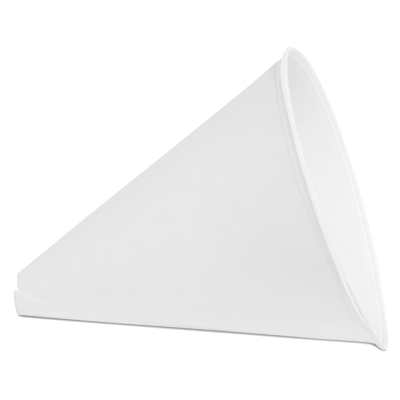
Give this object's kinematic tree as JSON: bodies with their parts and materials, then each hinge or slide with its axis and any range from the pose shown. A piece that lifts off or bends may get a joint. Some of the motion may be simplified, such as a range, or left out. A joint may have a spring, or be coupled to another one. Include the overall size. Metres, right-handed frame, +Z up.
{
  "type": "cone paper cup",
  "caption": "Empty cone-shaped drinking cup of white paper with a turned rim and a blunt folded tip, lying on its side as it comes to rest.",
  "frame": {"origin": "middle of the bounding box in plan, on the surface that the cup lies on", "axes": "+Z up; the tip points to -X and the mouth faces +X and upwards, the cone's axis leans 21 degrees up from +X in the XZ plane; +Y is the side away from the camera"},
  "size_m": [0.0904, 0.0724, 0.0676],
  "materials": {
    "paper": "matt uncoated white paper"
  },
  "bodies": {
    "root": {"paper_cone": "paper"}
  },
  "joints": []
}
